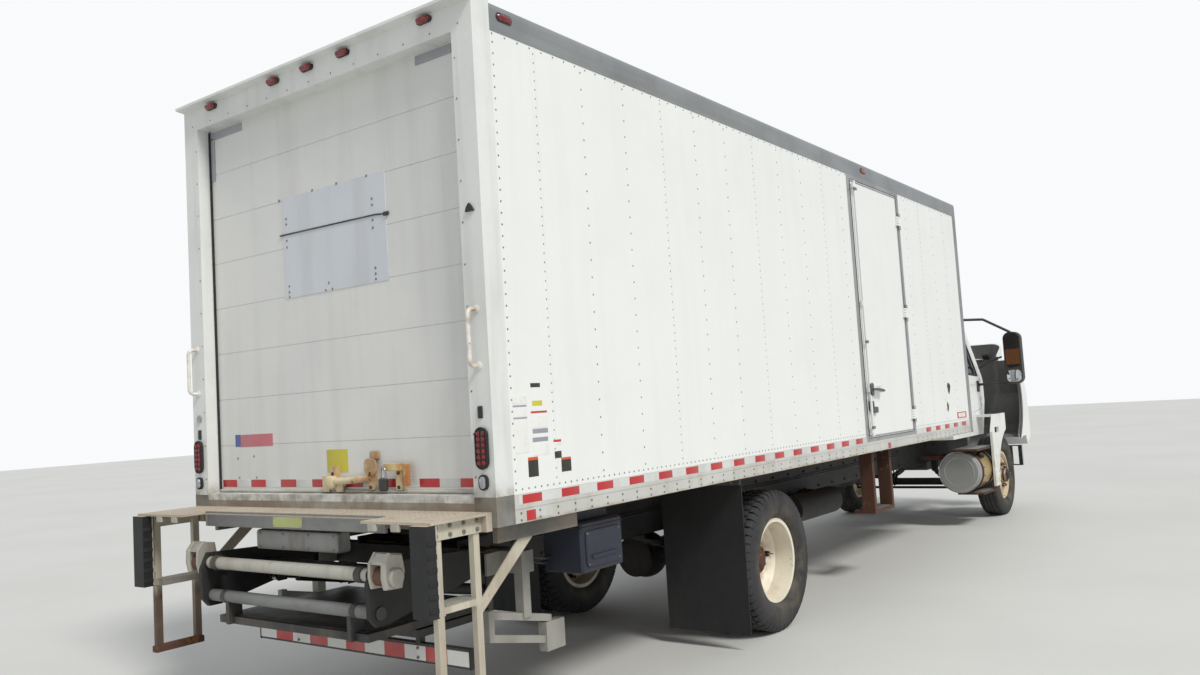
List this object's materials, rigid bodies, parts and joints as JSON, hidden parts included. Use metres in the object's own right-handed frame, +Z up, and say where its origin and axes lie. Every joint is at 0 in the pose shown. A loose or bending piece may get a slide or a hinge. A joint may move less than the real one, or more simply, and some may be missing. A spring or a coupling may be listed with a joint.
{
  "type": "box truck",
  "caption": "Two-axle box truck with a van body, sectional rear door, side cargo door, folding lift gate and a tilting hood that stands open.",
  "frame": {"origin": "on the ground under the middle of the whole truck's length and width", "axes": "+X forward along the truck, +Y to its left, +Z up"},
  "size_m": [11.7496, 3.18, 3.8299],
  "materials": {
    "box_white": "aged white paint",
    "box_grey": "dark grey paint",
    "rear_white": "aged white paint",
    "door_grey": "pale painted sheet",
    "roof_white": "weathered translucent white",
    "floor_wood": "worn hardwood",
    "rail_metal": "dirty mill finish",
    "side_door_white": "aged white paint",
    "frame_metal": "dull bare metal",
    "lamp_red": "red lens",
    "hardware": "zinc, rusty",
    "chassis_black": "black chassis paint, dusty",
    "tyre": "dusty rubber",
    "wheel_white": "white painted steel with rust",
    "rubber": "weathered rubber",
    "cast": "cast iron, dusty",
    "engine_grey": "oily cast iron",
    "radiator_black": "black",
    "exhaust": "rusted steel",
    "tank": "polished aluminium",
    "rusty": "rusted steel",
    "battery": "black box",
    "cab_white": "white paint",
    "glass": "clear glass",
    "dash_plastic": "grained plastic",
    "seat": "woven cloth",
    "mirror_black": "black housing",
    "hood_plastic": "white moulded hood",
    "grille": "black grille",
    "bumper": "dark painted steel",
    "gate_steel": "worn galvanized steel",
    "gate_paint": "grey paint, worn",
    "cylinder": "black barrel",
    "rod": "chromed rod",
    "platform": "dull aluminium",
    "power_box": "dark blue box"
  },
  "bodies": {
    "knuckle_left": {"knuckle_left": "cast"},
    "knuckle_right": {"knuckle_right": "cast"},
    "front_wheel_left": {"front_wheel_left": "wheel_white", "front_tyre_left": "tyre"},
    "front_wheel_right": {"front_wheel_right": "wheel_white", "front_tyre_right": "tyre"},
    "rear_wheels_left": {"rear_wheels_left": "wheel_white", "rear_tyres_left": "tyre"},
    "rear_wheels_right": {"rear_wheels_right": "wheel_white", "rear_tyres_right": "tyre"},
    "tie_rod": {"tie_rod": "chassis_black"},
    "hood": {"hood": "hood_plastic", "grille": "grille"},
    "cab_door_left": {"cab_door_left": "cab_white", "door_glass_left": "glass", "mirror_left": "mirror_black"},
    "cab_door_right": {"cab_door_right": "cab_white", "door_glass_right": "glass", "mirror_right": "mirror_black"},
    "side_door": {"side_door": "side_door_white"},
    "gate_arms": {"gate_arms": "gate_paint"},
    "gate_platform": {"gate_platform": "platform"},
    "gate_cylinders": {"gate_cylinders": "cylinder"},
    "gate_rods": {"gate_rods": "rod"},
    "chassis": {"air_tanks": "chassis_black", "battery_box": "battery", "box_floor": "floor_wood", "box_front": "box_white", "box_roof": "roof_white", "bumper": "bumper", "cab_glass": "glass", "cab_shell": "cab_white", "cab_skirts": "cab_white", "dashboard": "dash_plastic", "drive_shaft": "chassis_black", "engine": "engine_grey", "exhaust": "exhaust", "frame_rails": "chassis_black", "front_axle": "cast", "fuel_tank": "tank", "gate_dock": "gate_steel", "gate_frame": "gate_paint", "gate_power_box": "power_box", "leaf_springs": "chassis_black", "lower_rails": "rail_metal", "mud_flaps": "rubber", "radiator": "radiator_black", "rear_axle": "cast", "rear_frame": "rear_white", "rear_hardware": "hardware", "rear_lamps": "lamp_red", "rollup_door": "door_grey", "seats": "seat", "side_door_frame": "frame_metal", "steps": "rusty", "upper_frame": "box_grey", "wall_left": "box_white", "wall_right": "box_white"}
  },
  "joints": [
    {"name": "steer_right", "type": "hinge", "parent": "chassis", "child": "knuckle_right", "pos_m": [4.52518, -0.85, 0.515], "axis": [0, 0, 1], "range_deg": [-35, 35]},
    {"name": "steer_left", "type": "hinge", "parent": "chassis", "child": "knuckle_left", "pos_m": [4.52518, 0.85, 0.515], "axis": [0, 0, 1], "range_deg": [-35, 35]},
    {"name": "tie_rod_slide", "type": "slide", "parent": "chassis", "child": "tie_rod", "axis": [0, 1, 0], "range_m": [-0.13, 0.13]},
    {"name": "front_wheel_right_turn", "type": "hinge", "parent": "knuckle_right", "child": "front_wheel_right", "pos_m": [4.52518, -0.985, 0.515], "axis": [0, 1, 0], "continuous": true},
    {"name": "front_wheel_left_turn", "type": "hinge", "parent": "knuckle_left", "child": "front_wheel_left", "pos_m": [4.52518, 0.985, 0.515], "axis": [0, 1, 0], "continuous": true},
    {"name": "rear_wheels_right_turn", "type": "hinge", "parent": "chassis", "child": "rear_wheels_right", "pos_m": [-2.31482, -0.91, 0.515], "axis": [0, 1, 0], "continuous": true},
    {"name": "rear_wheels_left_turn", "type": "hinge", "parent": "chassis", "child": "rear_wheels_left", "pos_m": [-2.31482, 0.91, 0.515], "axis": [0, 1, 0], "continuous": true},
    {"name": "hood_tilt", "type": "hinge", "parent": "chassis", "child": "hood", "pos_m": [5.40518, 0, 0.9], "axis": [0, 1, 0], "range_deg": [-62, 0]},
    {"name": "cab_door_left_swing", "type": "hinge", "parent": "chassis", "child": "cab_door_left", "pos_m": [4.10518, 1.006, 1.8], "axis": [0, 0, 1], "range_deg": [-65, 0]},
    {"name": "cab_door_right_swing", "type": "hinge", "parent": "chassis", "child": "cab_door_right", "pos_m": [4.10518, -1.006, 1.8], "axis": [0, 0, 1], "range_deg": [0, 65]},
    {"name": "side_door_swing", "type": "hinge", "parent": "chassis", "child": "side_door", "pos_m": [0.59718, -1.309, 2.465], "axis": [0, 0, 1], "range_deg": [0, 160]},
    {"name": "gate_lift", "type": "hinge", "parent": "chassis", "child": "gate_arms", "pos_m": [-4.92482, 0, 0.9], "axis": [0, 1, 0], "range_deg": [-32, 0]},
    {"name": "gate_platform_level", "type": "hinge", "parent": "gate_arms", "child": "gate_platform", "pos_m": [-5.70982, 0, 0.785], "axis": [0, 1, 0], "range_deg": [0, 32]},
    {"name": "gate_cylinder_swing", "type": "hinge", "parent": "chassis", "child": "gate_cylinders", "pos_m": [-4.82482, 0, 0.73], "axis": [0, 1, 0], "range_deg": [-26, 0]},
    {"name": "gate_rod_slide", "type": "slide", "parent": "gate_cylinders", "child": "gate_rods", "axis": [-0.9783, 0, 0.207], "range_m": [-0.096, 0]}
  ],
  "couplings": [
    {"joint": "steer_left", "follows": "steer_right", "ratio": 1},
    {"joint": "tie_rod_slide", "follows": "steer_right", "m_per_rad": -0.212},
    {"joint": "gate_platform_level", "follows": "gate_lift", "ratio": -1},
    {"joint": "gate_cylinder_swing", "follows": "gate_lift", "ratio": 0.8},
    {"joint": "gate_rod_slide", "follows": "gate_lift", "m_per_rad": 0.1696}
  ]
}
